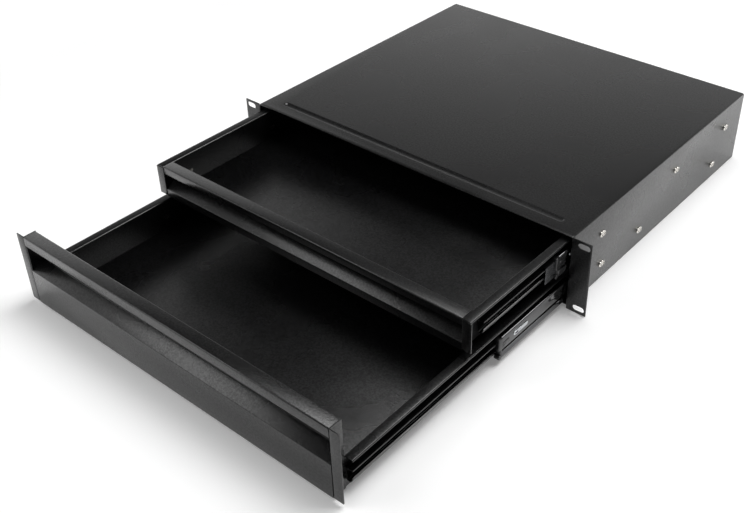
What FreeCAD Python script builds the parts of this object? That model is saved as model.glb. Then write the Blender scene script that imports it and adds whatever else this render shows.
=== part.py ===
import FreeCAD, Part
import math
import os
import re
import Sketcher

# Two-tier sliding rack drawer, 2U high, for a 19 inch rack. Millimetres, X right, Y back, Z up.
# The housing stands with its ears' front face at Y = 0 and the middle of the ear slots at Z = 0.
# Both drawers are drawn out; a drawer's own zero is its front face, a rail's own zero its front end.

doc = FreeCAD.newDocument("sliding_rack_drawer")
sheet = doc.addObject("Spreadsheet::Sheet", "sizes")

SIZES = [
    ("unit_height", 88.1, "two rack units less the usual clearance"),
    ("ear_span", 482.6, "19 inch panel width"),
    ("ear_reach", 22.3, "an ear beyond its side wall"),
    ("rear_room", 12.3, "the housing's back behind the upper slides"),
    ("housing_sheet", 1.2, "steel of the housing and the fronts"),
    ("housing_bend", 0.6, "inner radius of a fold"),
    ("rear_flange", 12.0, "return folds round the back opening"),
    ("slot_edge", 8.75, "slot centre in from the ear's edge: 465.1 across"),
    ("slot_end", 5.95, "slot centre in from the ear's ends: 76.2 apart"),
    ("ear_corner", 1.2, "rounding of the ears' corners"),
    ("slot_height", 6.8, ""),
    ("slot_length", 13.5, ""),
    ("bead_length", 392.0, "stiffening bead across the top"),
    ("bead_width", 9.0, ""),
    ("bead_depth", 1.4, ""),
    ("bead_back", 20.0, "bead centre behind the front"),
    ("bead_draft", 30.0, "slope of the bead's walls, degrees"),
    ("rear_foot", 14.0, "foot of the rear panel, folded forward"),
    ("slide_thickness", 12.7, "half an inch, drawer wall to housing wall"),
    ("slide_length", 350.0, ""),
    ("rail_sheet", 1.2, "steel of the rails"),
    ("rail_bend", 0.8, ""),
    ("inner_height", 16.0, "inner rail over its flanges"),
    ("ball_gap", 3.55, "flange to flange across a row of balls"),
    ("inner_reach", 8.3, "inner rail, wall to flange tip"),
    ("mid_tip", 5.2, "drawer wall to the middle rail's flange tip"),
    ("outer_tip", 4.0, "drawer wall to the outer rail's flange tip"),
    ("web_gap", 0.9, "middle rail's web to outer rail's web"),
    ("ball_size", 3.969, "five thirty-seconds of an inch"),
    ("ball_reach", 6.5, "drawer wall to the ball centres"),
    ("ball_clearance", 0.03, "race radius over ball radius"),
    ("pocket_clearance", 0.06, "cage hole radius over ball radius"),
    ("cage_sheet", 0.4, ""),
    ("cage_tip", 4.1, "drawer wall to the edges of a cage"),
    ("lower_slide_z", 19.6, "slide axis above the unit's bottom"),
    ("upper_slide_z", 60.4, ""),
    ("lower_rail_front", 2.5, "outer rail's front end behind the ears"),
    ("upper_rail_front", 21.0, ""),
    ("lower_open", 332.3, "how far the lower drawer is out"),
    ("upper_open", 175.2, ""),
    ("upper_setback", 17.0, "upper front behind the ears when shut"),
    ("lower_mid_share", 0.3536, "middle rail's travel over its drawer's lead"),
    ("upper_mid_share", 0.1294, "upper middle rail's travel over the lower drawer's"),
    ("screw_radius", 2.0, "M4"),
    ("screw_head_radius", 3.7, ""),
    ("screw_head_height", 1.8, ""),
    ("screw_clearance", 0.15, ""),
    ("screw_fit", 0.03, "thread to its hole"),
    ("screw_head_bevel", 0.9, ""),
    ("lower_screw_1", 65.5, "side screws behind the ears, lower row"),
    ("lower_screw_2", 144.4, ""),
    ("lower_screw_end", 32.5, "last side screw in front of the slide's end"),
    ("upper_screw_1", 61.0, "side screws, upper row"),
    ("upper_screw_2", 219.5, ""),
    ("upper_screw_end", 28.5, ""),
    ("tray_sheet", 1.0, "steel of the trays"),
    ("tray_bend", 0.6, ""),
    ("lower_tray_bottom", 4.0, ""),
    ("lower_tray_top", 40.5, ""),
    ("tray_short", 0.5, "shut tray's rear face in front of the lower slides' end"),
    ("lower_ledge_front", 16.0, "where the lower tray's top ledges start"),
    ("ledge_reach", 9.1, "top ledge beyond the tray's side"),
    ("ledge_relief", 2.5, "corner relief in front of a lower ledge"),
    ("wing_drop", 0.8, "upper front fold below the tray"),
    ("lower_upstand", 28.0, "tray's front fold, welded to the front"),
    ("upper_tray_bottom", 46.0, ""),
    ("upper_tray_top", 82.0, ""),
    ("upper_upstand", 5.0, ""),
    ("upper_end_reach", 10.0, "front fold beyond the upper tray's side"),
    ("front_rise", 8.6, "height of the finger slope"),
    ("front_recess", 14.5, "depth of the finger recess"),
    ("lower_front_bottom", 3.5, ""),
    ("lower_crease", 43.0, "foot of the finger slope"),
    ("lower_front_top", 84.3, ""),
    ("lower_lip", 10.3, ""),
    ("upper_front_bottom", 44.6, ""),
    ("upper_crease", 53.5, ""),
    ("upper_front_top", 82.0, ""),
    ("upper_lip", 8.4, ""),
    ("bracket_reach", 11.6, "front fold of a lower end bracket"),
    ("bracket_bottom", 4.1, ""),
    ("lower_inner_front", 16.3, "inner rail behind the drawer front"),
    ("upper_inner_front", 21.2, ""),
    ("lower_rail_screw", 41.6, "first inner rail screw behind the drawer front"),
    ("upper_rail_screw", 36.2, ""),
    ("rail_screw_pitch", 128.0, ""),
    ("rail_screw_head", 3.4, ""),
    ("rail_screw_end", 0.8, "thread end inside the tray"),
    ("clip_reach", 5.0, "plastic end of a middle rail"),
    ("clip_tongue", 12.0, ""),
    ("clip_clearance", 0.4, "round the inner cage"),
    ("clip_sheet", 0.55, "tongue on the web's outer face"),
    ("clip_tongue_half", 9.0, ""),
    ("clip_step", 3.0, "step in the tongue's end, off the slide axis"),
    ("lug_front", 24.0, "stop lug behind the middle rail's front end"),
    ("lug_length", 24.0, ""),
    ("lug_height", 6.0, ""),
    ("lug_rise", 0.5, ""),
    ("lug_lift", 4.6, "lug above the slide axis"),
    ("lug_wall", 1.0, "lug's edge to the dent behind it"),
    ("lug_end_gap", 0.05, "flat left between the lug's round ends"),
    ("lug_window", 4.0, "window behind the lug's front end"),
    ("lug_window_length", 6.0, ""),
    ("lug_window_height", 1.6, ""),
    ("access_end", 30.0, "second access hole along the middle rail, from its rear end"),
    ("access_gap", 0.5, "access hole round a screw head"),
    ("lower_outer_cage", 65.0, "cage behind the rail front with the drawer shut"),
    ("outer_cage_length", 220.0, ""),
    ("lower_inner_cage", 131.0, ""),
    ("lower_inner_cage_length", 106.0, ""),
    ("upper_outer_cage", 60.0, ""),
    ("upper_inner_cage", 50.0, ""),
    ("upper_inner_cage_length", 230.0, ""),
    ("ball_inset", 32.0, "first ball behind the front of a cage"),
    ("lever_pivot", 250.0, "release lever's pivot behind the drawer front"),
    ("lever_front", 21.0, "pivot to the finger end"),
    ("lever_back", 17.0, "pivot to the hook"),
    ("lever_half", 3.4, ""),
    ("lever_waist", 2.1, ""),
    ("lever_thickness", 2.0, ""),
    ("lever_boss", 4.0, "half the length of the full height at the pivot"),
    ("lever_hook", 3.0, "length of the hook's foot, and of the slope behind it"),
    ("lever_slope", 1.0, "rise of the slope's end above the waist"),
    ("lever_gap", 0.1, "lever off the rail's web"),
    ("pin_radius", 1.5, ""),
    ("pin_head_radius", 2.6, ""),
    ("pin_head_height", 0.7, ""),
    ("pin_clearance", 0.05, ""),
]
size = {}
for row, (alias, value, note) in enumerate(SIZES, start=1):
    cell = "A%d" % row
    sheet.set(cell, str(value))
    sheet.setAlias(cell, alias)
    sheet.set("B%d" % row, note)
    size[alias] = value
doc.recompute()

# Places that several parts share, as expressions on the sheet.
HALF_WIDTH = "(ear_span / 2 - ear_reach)"
WALL_INSIDE = "(ear_span / 2 - ear_reach - housing_sheet)"
DRAWER_WALL = "(ear_span / 2 - ear_reach - housing_sheet - slide_thickness)"
HOUSING_DEPTH = "(upper_rail_front + slide_length + rear_room)"
SETBACK = {"lower": "0", "upper": "upper_setback"}
LEAD = {"lower": "-lower_open", "upper": "upper_setback - upper_open"}
MID_HALF = "(inner_height / 2 + ball_gap + rail_sheet)"
OUTER_HALF = "(inner_height / 2 + 2 * ball_gap + 2 * rail_sheet)"
MID_BACK = "(slide_thickness - rail_sheet - web_gap)"
MID_FACE = "(slide_thickness - 2 * rail_sheet - web_gap)"
INNER_ROW = "(inner_height / 2 + ball_gap / 2)"
OUTER_ROW = "(inner_height / 2 + 3 * ball_gap / 2 + rail_sheet)"
SIDES = (("left", -1), ("right", 1))
TIERS = ("lower", "upper")


def linked(text):
    """Name the sheet before each size in an expression."""
    return re.sub(r"[a-z][a-z_0-9]*", lambda m: "sizes." + m.group(0) if m.group(0) in size else m.group(0), text)


def bind(item, prop, text):
    item.setExpression(prop, linked(text))


def side_screw_places(tier, shift="0"):
    """Places of a tier's side screws; the last keeps its distance from the slide's end."""
    last = "%s_rail_front + slide_length - %s_screw_end" % (tier, tier)
    along = ["%s_screw_1" % tier, "%s_screw_2" % tier, last]
    return [("%s - %s" % (text, shift), tier + "_slide_z") for text in along]


def across(side, text):
    """The same place on the right (1) or mirrored to the left (-1)."""
    return "%d * (%s)" % (side, text)


def new_body(label, y_text="0"):
    body = doc.addObject("PartDesign::Body", label)
    body.Label = label
    bind(body, "Placement.Base.y", y_text)
    bind(body, "Placement.Base.z", "-unit_height / 2")
    return body


def new_sketch(body, role, offset="0"):
    """A sketch on one of the body's own planes, moved along the plane's normal."""
    sketch = body.newObject("Sketcher::SketchObject", "outline")
    plane = [p for p in body.Origin.OriginFeatures if p.Role == role][0]
    sketch.AttachmentSupport = [(plane, "")]
    sketch.MapMode = "FlatFace"
    if offset != "0":
        bind(sketch, "AttachmentOffset.Base.z", offset)
    return sketch


def pin_point(sketch, geometry, end, place):
    """Tie a point to its place, each coordinate named and bound to the sheet."""
    for kind, text in zip(("DistanceX", "DistanceY"), place):
        index = sketch.addConstraint(Sketcher.Constraint(kind, -1, 1, geometry, end, 1.0))
        name = "%s%d_%d" % (kind[-1].lower(), geometry, end)
        sketch.renameConstraint(index, name)
        bind(sketch, "Constraints." + name, text)


def add_polygon(sketch, places):
    """A closed outline; the lines start on a ring and their places pull them into shape."""
    first = sketch.GeometryCount
    count = len(places)
    ring = [FreeCAD.Vector(math.cos(2 * math.pi * i / count), math.sin(2 * math.pi * i / count), 0)
            for i in range(count)]
    for i in range(count):
        sketch.addGeometry(Part.LineSegment(ring[i], ring[(i + 1) % count]), False)
    for i in range(count):
        after = first + (i + 1) % count
        sketch.addConstraint(Sketcher.Constraint("Coincident", first + i, 2, after, 1))
    for i, place in enumerate(places):
        pin_point(sketch, first + i, 1, place)


def add_rectangle(sketch, left, right, low, high):
    add_polygon(sketch, [(left, low), (right, low), (right, high), (left, high)])


def add_circle(sketch, place, radius):
    circle = sketch.addGeometry(Part.Circle(FreeCAD.Vector(0, 0, 0), FreeCAD.Vector(0, 0, 1), 1.0), False)
    pin_point(sketch, circle, 3, place)
    index = sketch.addConstraint(Sketcher.Constraint("Radius", circle, 1.0))
    sketch.renameConstraint(index, "radius%d" % circle)
    bind(sketch, "Constraints.radius%d" % circle, radius)


def extrude(body, kind, sketch, length, back=False, middle=False):
    """A pad or pocket with a bound length, either way from its sketch or both ways."""
    feature = body.newObject("PartDesign::" + kind, kind.lower())
    feature.Profile = sketch
    feature.Reversed = back
    if middle:
        feature.SideType = "Symmetric"
    bind(feature, "Length", length)
    sketch.Visibility = False
    doc.recompute()
    return feature


def edges_where(feature, keep):
    """Names of the edges whose middle point and direction pass the test."""
    names = []
    for number, edge in enumerate(feature.Shape.Edges, start=1):
        box = edge.BoundBox
        spans = (box.XLength, box.YLength, box.ZLength)
        if keep(edge.CenterOfMass, spans):
            names.append("Edge%d" % number)
    return names


def near(a, b):
    return abs(a - b) < 0.02


def round_edges(body, feature, names, radius, kind="Fillet"):
    fillet = body.newObject("PartDesign::" + kind, kind.lower())
    fillet.Base = (feature, names)
    bind(fillet, "Radius" if kind == "Fillet" else "Size", radius)
    doc.recompute()
    return fillet


def long_edges(feature, axis, places):
    """Edges that run along an axis through any of the given cross-section places."""
    others = [i for i in range(3) if i != axis]

    def on_place(middle, spans):
        if spans[others[0]] > 0.01 or spans[others[1]] > 0.01:
            return False
        point = (middle.x, middle.y, middle.z)
        return any(near(point[others[0]], a) and near(point[others[1]], b) for a, b in places)

    return edges_where(feature, on_place)


# Housing: one folded sheet makes the top, the sides, the ears and the rear return folds.
wide = size["ear_span"] / 2 - size["ear_reach"]
tall = size["unit_height"]
deep = size["upper_rail_front"] + size["slide_length"] + size["rear_room"]
gauge = size["housing_sheet"]
housing = new_body("housing_shell")
outline = new_sketch(housing, "XZ_Plane")
add_rectangle(outline, "-" + HALF_WIDTH, HALF_WIDTH, "0", "unit_height")
extrude(housing, "Pad", outline, HOUSING_DEPTH, back=True)
hollow = new_sketch(housing, "XZ_Plane")
add_rectangle(hollow, "-" + WALL_INSIDE, WALL_INSIDE, "-1", "unit_height - housing_sheet")
extrude(housing, "Pocket", hollow, HOUSING_DEPTH + " - housing_sheet")
back_opening = new_sketch(housing, "XZ_Plane")
add_rectangle(back_opening, "rear_flange - " + HALF_WIDTH, HALF_WIDTH + " - rear_flange",
              "-1", "unit_height - rear_flange")
extrude(housing, "Pocket", back_opening, HOUSING_DEPTH + " + 1")
ears = new_sketch(housing, "XZ_Plane")
for name, side in SIDES:
    add_rectangle(ears, across(side, WALL_INSIDE), across(side, "ear_span / 2"), "0", "unit_height")
folded = extrude(housing, "Pad", ears, "housing_sheet", back=True)
slots = new_sketch(housing, "XZ_Plane")
for name, side in SIDES:
    for middle_z in ("slot_end", "unit_height - slot_end"):
        add_rectangle(slots, across(side, "ear_span / 2 - slot_edge - slot_length / 2"),
                      across(side, "ear_span / 2 - slot_edge + slot_length / 2"),
                      middle_z + " - slot_height / 2", middle_z + " + slot_height / 2")
slotted = extrude(housing, "Pocket", slots, "housing_sheet")
slot_ends = edges_where(slotted, lambda m, s: s[1] > 1 and s[0] < 0.01 and s[2] < 0.01
                        and near(m.y, gauge / 2) and wide + 2 < abs(m.x) < size["ear_span"] / 2 - 1)
slotted = round_edges(housing, slotted, slot_ends, "slot_height / 2 - 0.01")
inner_folds = long_edges(slotted, 1, [(-wide + gauge, tall - gauge), (wide - gauge, tall - gauge)])
rounded = round_edges(housing, slotted, inner_folds, "housing_bend")
top_folds = long_edges(rounded, 1, [(-wide, tall), (wide, tall)])
top_folds += long_edges(rounded, 2, [(-wide, deep), (wide, deep)])
top_folds += long_edges(rounded, 0, [(deep, tall)])
rounded = round_edges(housing, rounded, top_folds, "housing_bend + housing_sheet")
ear_corners = long_edges(rounded, 1, [(a * size["ear_span"] / 2, b) for a in (-1, 1) for b in (0, tall)])
round_edges(housing, rounded, ear_corners, "ear_corner")
bead_dish = new_sketch(housing, "XY_Plane", "unit_height")
add_rectangle(bead_dish, "-bead_length / 2", "bead_length / 2",
              "bead_back - bead_width / 2", "bead_back + bead_width / 2")
dish = extrude(housing, "Pad", bead_dish, "housing_sheet + bead_depth", back=True)
bind(dish, "TaperAngle", "-bead_draft")
bead_hollow = new_sketch(housing, "XY_Plane", "unit_height")
add_rectangle(bead_hollow, "1 - bead_length / 2", "bead_length / 2 - 1",
              "bead_back - bead_width / 2 + 1", "bead_back + bead_width / 2 - 1")
hollowed = extrude(housing, "Pocket", bead_hollow, "bead_depth")
bind(hollowed, "TaperAngle", "-bead_draft")
doc.recompute()
side_holes = new_sketch(housing, "YZ_Plane")
for tier in TIERS:
    for place in side_screw_places(tier):
        add_circle(side_holes, place, "screw_radius + screw_clearance")
extrude(housing, "Pocket", side_holes, "ear_span", middle=True)

# Rear panel: a plate behind the return folds with a foot folded forward.
rear = new_body("rear_panel")
section = new_sketch(rear, "YZ_Plane")
PLATE_BACK = "(%s - housing_sheet)" % HOUSING_DEPTH
add_polygon(section, [
    (PLATE_BACK, "0"), (PLATE_BACK, "unit_height - housing_sheet"),
    (PLATE_BACK + " - housing_sheet", "unit_height - housing_sheet"),
    (PLATE_BACK + " - housing_sheet", "housing_sheet"),
    (PLATE_BACK + " - rear_foot", "housing_sheet"), (PLATE_BACK + " - rear_foot", "0")])
plate = extrude(rear, "Pad", section, "2 * " + WALL_INSIDE, middle=True)
plate = round_edges(rear, plate, long_edges(plate, 0, [(deep - gauge, 0)]), "housing_bend + housing_sheet")
round_edges(rear, plate, long_edges(plate, 0, [(deep - 2 * gauge, gauge)]), "housing_bend")


# Side screws: round heads outside the housing, threads into the outer rails' webs.
for name, side in SIDES:
    screws = new_body("slide_screws_" + name)
    places = side_screw_places("lower") + side_screw_places("upper")
    shanks = new_sketch(screws, "YZ_Plane", across(side, HALF_WIDTH + " - housing_sheet - rail_sheet"))
    heads = new_sketch(screws, "YZ_Plane", across(side, HALF_WIDTH))
    for place in places:
        add_circle(shanks, place, "screw_radius")
        add_circle(heads, place, "screw_head_radius")
    extrude(screws, "Pad", shanks, "housing_sheet + rail_sheet", back=side < 0)
    domes = extrude(screws, "Pad", heads, "screw_head_height", back=side < 0)
    face_x = side * (wide + size["screw_head_height"])
    rims = edges_where(domes, lambda m, s: near(m.x, face_x) and s[0] < 0.01)
    round_edges(screws, domes, rims, "screw_head_bevel", "Chamfer")


def channel(body, side, web_out, web_in, tip, half, axis_z, length):
    """A rolled C rail: web, two flanges and rounded corners, along Y."""
    def place(u, v):
        return (across(side, DRAWER_WALL + " + " + u), "%s + %s" % (axis_z, v))

    profile = new_sketch(body, "XZ_Plane")
    add_polygon(profile, [
        place(web_out, "(-%s)" % half), place(web_out, half), place(tip, half),
        place(tip, half + " - rail_sheet"), place(web_in, half + " - rail_sheet"),
        place(web_in, "(rail_sheet - %s)" % half), place(tip, "(rail_sheet - %s)" % half),
        place(tip, "(-%s)" % half)])
    return extrude(body, "Pad", profile, length, back=True)


def round_channel(body, feature, side, web_out, web_in, half, axis_z):
    wall = wide - gauge - size["slide_thickness"]
    level = size[axis_z]
    steel = size["rail_sheet"]
    outside = [(side * (wall + web_out), level + s * half) for s in (-1, 1)]
    inside = [(side * (wall + web_in), level + s * (half - steel)) for s in (-1, 1)]
    feature = round_edges(body, feature, long_edges(feature, 1, outside), "rail_bend + rail_sheet")
    return round_edges(body, feature, long_edges(feature, 1, inside), "rail_bend")


def race_grooves(body, side, rows, axis_z, length):
    """Ball races pressed along the flanges: round grooves a little wider than the balls."""
    grooves = new_sketch(body, "XZ_Plane")
    for row in rows:
        for level in (-1, 1):
            add_circle(grooves, (across(side, DRAWER_WALL + " + ball_reach"),
                                 "%s + %d * %s" % (axis_z, level, row)),
                       "ball_size / 2 + ball_clearance")
    return extrude(body, "Pocket", grooves, length)


def web_holes(body, side, places, radius, offset, depth):
    """Round holes through a web, drilled along X."""
    holes = new_sketch(body, "YZ_Plane", offset)
    for place in places:
        add_circle(holes, place, radius)
    return extrude(body, "Pocket", holes, depth, middle=True)


inner_half = size["inner_height"] / 2
mid_half = inner_half + size["ball_gap"] + size["rail_sheet"]
outer_half = mid_half + size["ball_gap"] + size["rail_sheet"]
thick = size["slide_thickness"]
steel = size["rail_sheet"]
mid_back = thick - steel - size["web_gap"]
for tier in TIERS:
    axis_z = tier + "_slide_z"
    front = tier + "_rail_front"
    drawer_lead = "lower_open" if tier == "lower" else "upper_open"
    mid_lead = tier + "_mid_share * lower_open"
    for name, side in SIDES:
        tag = "%s_%s_" % (tier, name)

        # Outer rail, fixed inside the housing wall.
        outer = new_body(tag + "outer_rail", front)
        feature = channel(outer, side, "slide_thickness", "slide_thickness - rail_sheet", "outer_tip",
                          OUTER_HALF, axis_z, "slide_length")
        round_channel(outer, feature, side, thick, thick - steel, outer_half, axis_z)
        race_grooves(outer, side, [OUTER_ROW], axis_z, "slide_length")
        web_holes(outer, side, side_screw_places(tier, front), "screw_radius + screw_fit",
                  across(side, WALL_INSIDE + " - rail_sheet / 2"), "rail_sheet + 1")

        # Middle rail, with a stop lug pressed outward near its front end.
        mid = new_body(tag + "mid_rail", "%s - %s" % (front, mid_lead))
        feature = channel(mid, side, MID_BACK, MID_FACE, "mid_tip", MID_HALF, axis_z, "slide_length")
        round_channel(mid, feature, side, mid_back, mid_back - steel, mid_half, axis_z)
        clear = new_sketch(mid, "XZ_Plane")
        add_rectangle(clear, across(side, DRAWER_WALL), across(side, WALL_INSIDE),
                      axis_z + " - %s - 1" % MID_HALF, axis_z + " + %s + 1" % MID_HALF)
        extrude(mid, "Pocket", clear, "clip_reach")
        race_grooves(mid, side, [INNER_ROW, OUTER_ROW], axis_z, "slide_length")
        lug = new_sketch(mid, "YZ_Plane", across(side, DRAWER_WALL + " + " + MID_BACK))
        add_rectangle(lug, "lug_front", "lug_front + lug_length",
                      axis_z + " + lug_lift - lug_height / 2", axis_z + " + lug_lift + lug_height / 2")
        raised = extrude(mid, "Pad", lug, "lug_rise", back=side < 0)
        lug_x = side * (wide - gauge - thick + mid_back + size["lug_rise"] / 2)
        ends = edges_where(raised, lambda m, s: near(m.x, lug_x) and s[1] < 0.01 and s[2] < 0.01)
        round_edges(mid, raised, ends, "lug_height / 2 - lug_end_gap")
        dent = new_sketch(mid, "YZ_Plane", across(side, DRAWER_WALL + " + " + MID_FACE))
        add_rectangle(dent, "lug_front + lug_wall", "lug_front + lug_length - lug_wall",
                      axis_z + " + lug_lift - lug_height / 2 + lug_wall",
                      axis_z + " + lug_lift + lug_height / 2 - lug_wall")
        extrude(mid, "Pocket", dent, "lug_rise", back=side > 0)
        window = new_sketch(mid, "YZ_Plane", across(side, DRAWER_WALL + " + " + MID_BACK))
        add_rectangle(window, "lug_front + lug_window", "lug_front + lug_window + lug_window_length",
                      axis_z + " + lug_lift - lug_window_height / 2",
                      axis_z + " + lug_lift + lug_window_height / 2")
        extrude(mid, "Pocket", window, "2 * slide_thickness", middle=True)
        web_holes(mid, side, [("slide_length / 2", axis_z), ("slide_length - access_end", axis_z)],
                  "screw_head_radius + access_gap", across(side, DRAWER_WALL + " + " + MID_FACE), "6")

        # Plastic end clip: a C round the inner cage with a tongue on the middle rail's web.
        clip = new_body(tag + "end_clip", "%s - %s" % (front, mid_lead))
        frame = new_sketch(clip, "XZ_Plane")

        def around(u, v):
            return (across(side, DRAWER_WALL + " + " + u), "%s + %s" % (axis_z, v))

        passage = "(%s + cage_sheet / 2 + clip_clearance)" % INNER_ROW
        add_polygon(frame, [
            around(MID_BACK, "(-%s)" % MID_HALF), around(MID_BACK, MID_HALF), around("mid_tip", MID_HALF),
            around("mid_tip", passage), around(MID_FACE, passage),
            around(MID_FACE, "(-%s)" % passage), around("mid_tip", "(-%s)" % passage),
            around("mid_tip", "(-%s)" % MID_HALF)])
        block = extrude(clip, "Pad", frame, "clip_reach", back=True)
        corners = [(side * (wide - gauge - thick + mid_back), size[axis_z] + s * mid_half) for s in (-1, 1)]
        round_edges(clip, block, long_edges(block, 1, corners), "rail_bend + rail_sheet")
        tongue = new_sketch(clip, "YZ_Plane", across(side, DRAWER_WALL + " + " + MID_BACK))
        add_polygon(tongue, [
            ("0", axis_z + " - clip_tongue_half"), ("0", axis_z + " + clip_tongue_half"),
            ("clip_reach + clip_tongue", axis_z + " + clip_tongue_half"),
            ("clip_reach + clip_tongue", axis_z + " + clip_step"),
            ("clip_reach + clip_tongue / 2", axis_z + " - clip_step"),
            ("clip_reach + clip_tongue / 2", axis_z + " - clip_tongue_half")])
        extrude(clip, "Pad", tongue, "clip_sheet", back=side < 0)

        # Cages and balls: one row above and one below, between each pair of rails.
        for layer in ("outer", "inner"):
            if layer == "outer":
                row = OUTER_ROW
                web_u = "(slide_thickness - rail_sheet - web_gap / 2)"
                share = "(%s) / 2" % mid_lead
                long_text = "outer_cage_length"
            else:
                row = INNER_ROW
                web_u = "((inner_reach + %s) / 2)" % MID_FACE
                share = "(%s + %s) / 2" % (mid_lead, drawer_lead)
                long_text = tier + "_inner_cage_length"
            start = "%s + %s_%s_cage - %s" % (front, tier, layer, share)
            cage = new_body(tag + layer + "_cage", start)
            profile = new_sketch(cage, "XZ_Plane")
            out_u = web_u + " + cage_sheet / 2"
            in_u = web_u + " - cage_sheet / 2"
            over = "(%s + cage_sheet / 2)" % row
            under = "(%s - cage_sheet / 2)" % row
            add_polygon(profile, [
                around(out_u, "(-%s)" % over), around(out_u, over), around("cage_tip", over),
                around("cage_tip", under), around(in_u, under), around(in_u, "(-%s)" % under),
                around("cage_tip", "(-%s)" % under), around("cage_tip", "(-%s)" % over)])
            extrude(cage, "Pad", profile, long_text, back=True)
            seats = new_sketch(cage, "XY_Plane", axis_z)
            ball_places = [(across(side, DRAWER_WALL + " + ball_reach"), text)
                           for text in ("ball_inset", long_text + " - ball_inset")]
            for place in ball_places:
                add_circle(seats, place, "ball_size / 2 + pocket_clearance")
            extrude(cage, "Pocket", seats, "2 * " + over + " + 2", middle=True)
            balls = new_body(tag + layer + "_balls", start)
            for level in (-1, 1):
                for x_text, y_text in ball_places:
                    ball = balls.newObject("PartDesign::AdditiveSphere", "ball")
                    bind(ball, "Radius", "ball_size / 2")
                    bind(ball, "Placement.Base.x", x_text)
                    bind(ball, "Placement.Base.y", y_text)
                    bind(ball, "Placement.Base.z", "%s + %d * %s" % (axis_z, level, row))


# Trays: a pan folded up at the front and the back, between two side sheets with top ledges.
# The lower sides stop under the finger slope; the upper ones run on and fold outward at the front.
wall_x = wide - gauge - thick
thin = size["tray_sheet"]
for tier in TIERS:
    lead = LEAD[tier]
    bottom = tier + "_tray_bottom"
    top = tier + "_tray_top"
    back = "(lower_rail_front + slide_length - tray_short - %s)" % SETBACK[tier]
    setback = size["upper_setback"] if tier == "upper" else 0
    back_y = size["lower_rail_front"] + size["slide_length"] - size["tray_short"] - setback
    floor_z = size[bottom]
    top_z = size[top]
    upstand = "%s + %s_upstand" % (bottom, tier)
    pan = new_body(tier + "_tray", lead)
    section = new_sketch(pan, "YZ_Plane")
    add_polygon(section, [
        ("housing_sheet", bottom), ("housing_sheet", upstand), ("housing_sheet + tray_sheet", upstand),
        ("housing_sheet + tray_sheet", bottom + " + tray_sheet"),
        (back + " - tray_sheet", bottom + " + tray_sheet"), (back + " - tray_sheet", top),
        (back, top), (back, bottom)])
    folded = extrude(pan, "Pad", section, "2 * (%s - tray_sheet)" % DRAWER_WALL, middle=True)
    folds = long_edges(folded, 0, [(gauge, floor_z), (back_y, floor_z)])
    folded = round_edges(pan, folded, folds, "tray_bend + tray_sheet")
    folds = long_edges(folded, 0, [(gauge + thin, floor_z + thin), (back_y - thin, floor_z + thin)])
    round_edges(pan, folded, folds, "tray_bend")

    holes = [("%s_rail_screw + %d * rail_screw_pitch" % (tier, n), tier + "_slide_z") for n in (0, 1, 2)]
    ledge_front = "lower_ledge_front" if tier == "lower" else "0"
    for name, side in SIDES:
        cheek = new_body("%s_%s_side" % (tier, name), lead)
        near_x = across(side, DRAWER_WALL + " - tray_sheet")
        far_x = across(side, DRAWER_WALL)
        section = new_sketch(cheek, "XZ_Plane", "-(%s)" % ledge_front)
        ledge_x = across(side, DRAWER_WALL + " + ledge_reach")
        add_polygon(section, [
            (near_x, bottom), (far_x, bottom), (far_x, top + " - tray_sheet"),
            (ledge_x, top + " - tray_sheet"), (ledge_x, top), (near_x, top)])
        wall = extrude(cheek, "Pad", section, "%s - %s" % (back, ledge_front), back=True)
        fold = long_edges(wall, 1, [(side * (wall_x - thin), top_z)])
        wall = round_edges(cheek, wall, fold, "tray_bend + tray_sheet")
        fold = long_edges(wall, 1, [(side * wall_x, top_z - thin)])
        round_edges(cheek, wall, fold, "tray_bend")
        if tier == "lower":
            tab = new_sketch(cheek, "XZ_Plane", "-housing_sheet")
            add_rectangle(tab, near_x, far_x, bottom, top + " - ledge_relief")
            extrude(cheek, "Pad", tab, "lower_ledge_front - housing_sheet", back=True)
        else:
            wing = new_sketch(cheek, "XZ_Plane")
            add_rectangle(wing, near_x, across(side, DRAWER_WALL + " + upper_end_reach"),
                          bottom + " - wing_drop", top + " - tray_sheet")
            extrude(cheek, "Pad", wing, "tray_sheet", back=True)
        shank_holes = new_sketch(cheek, "YZ_Plane")
        for place in holes:
            add_circle(shank_holes, place, "screw_radius + screw_fit")
        extrude(cheek, "Pocket", shank_holes, "ear_span", middle=True)

    # Front: one folded strip with a sloped finger recess, a top ledge and a lip.
    front = new_body(tier + "_front_panel", lead)
    section = new_sketch(front, "YZ_Plane")
    low, crease, high = tier + "_front_bottom", tier + "_crease", tier + "_front_top"
    run = "(front_recess - housing_sheet)"
    sag = "(housing_sheet * sqrt(%s * %s + front_rise * front_rise) / %s)" % (run, run, run)
    slope = "front_rise / %s" % run
    add_polygon(section, [
        ("0", low), ("0", crease), (run, crease + " + front_rise"), (run, high + " - housing_sheet"),
        ("housing_sheet", high + " - housing_sheet"), ("housing_sheet", "%s - %s_lip" % (high, tier)),
        ("0", "%s - %s_lip" % (high, tier)), ("0", high), ("front_recess", high),
        ("front_recess", "%s + front_recess * %s - %s" % (crease, slope, sag)),
        ("housing_sheet", "%s + housing_sheet * %s - %s" % (crease, slope, sag)), ("housing_sheet", low)])
    span = "2 * " + DRAWER_WALL + (" - 2 * tray_sheet" if tier == "upper" else "")
    strip = extrude(front, "Pad", section, span, middle=True)
    ledge_y = size["front_recess"]
    ledge_z = size[tier + "_front_top"]
    bends = long_edges(strip, 0, [(0, ledge_z), (ledge_y, ledge_z)])
    strip = round_edges(front, strip, bends, "housing_bend + housing_sheet")
    bends = long_edges(strip, 0, [(gauge, ledge_z - gauge), (ledge_y - gauge, ledge_z - gauge)])
    round_edges(front, strip, bends, "housing_bend")

    for name, side in SIDES:
        tag = "%s_%s_" % (tier, name)
        if tier == "lower":
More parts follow.
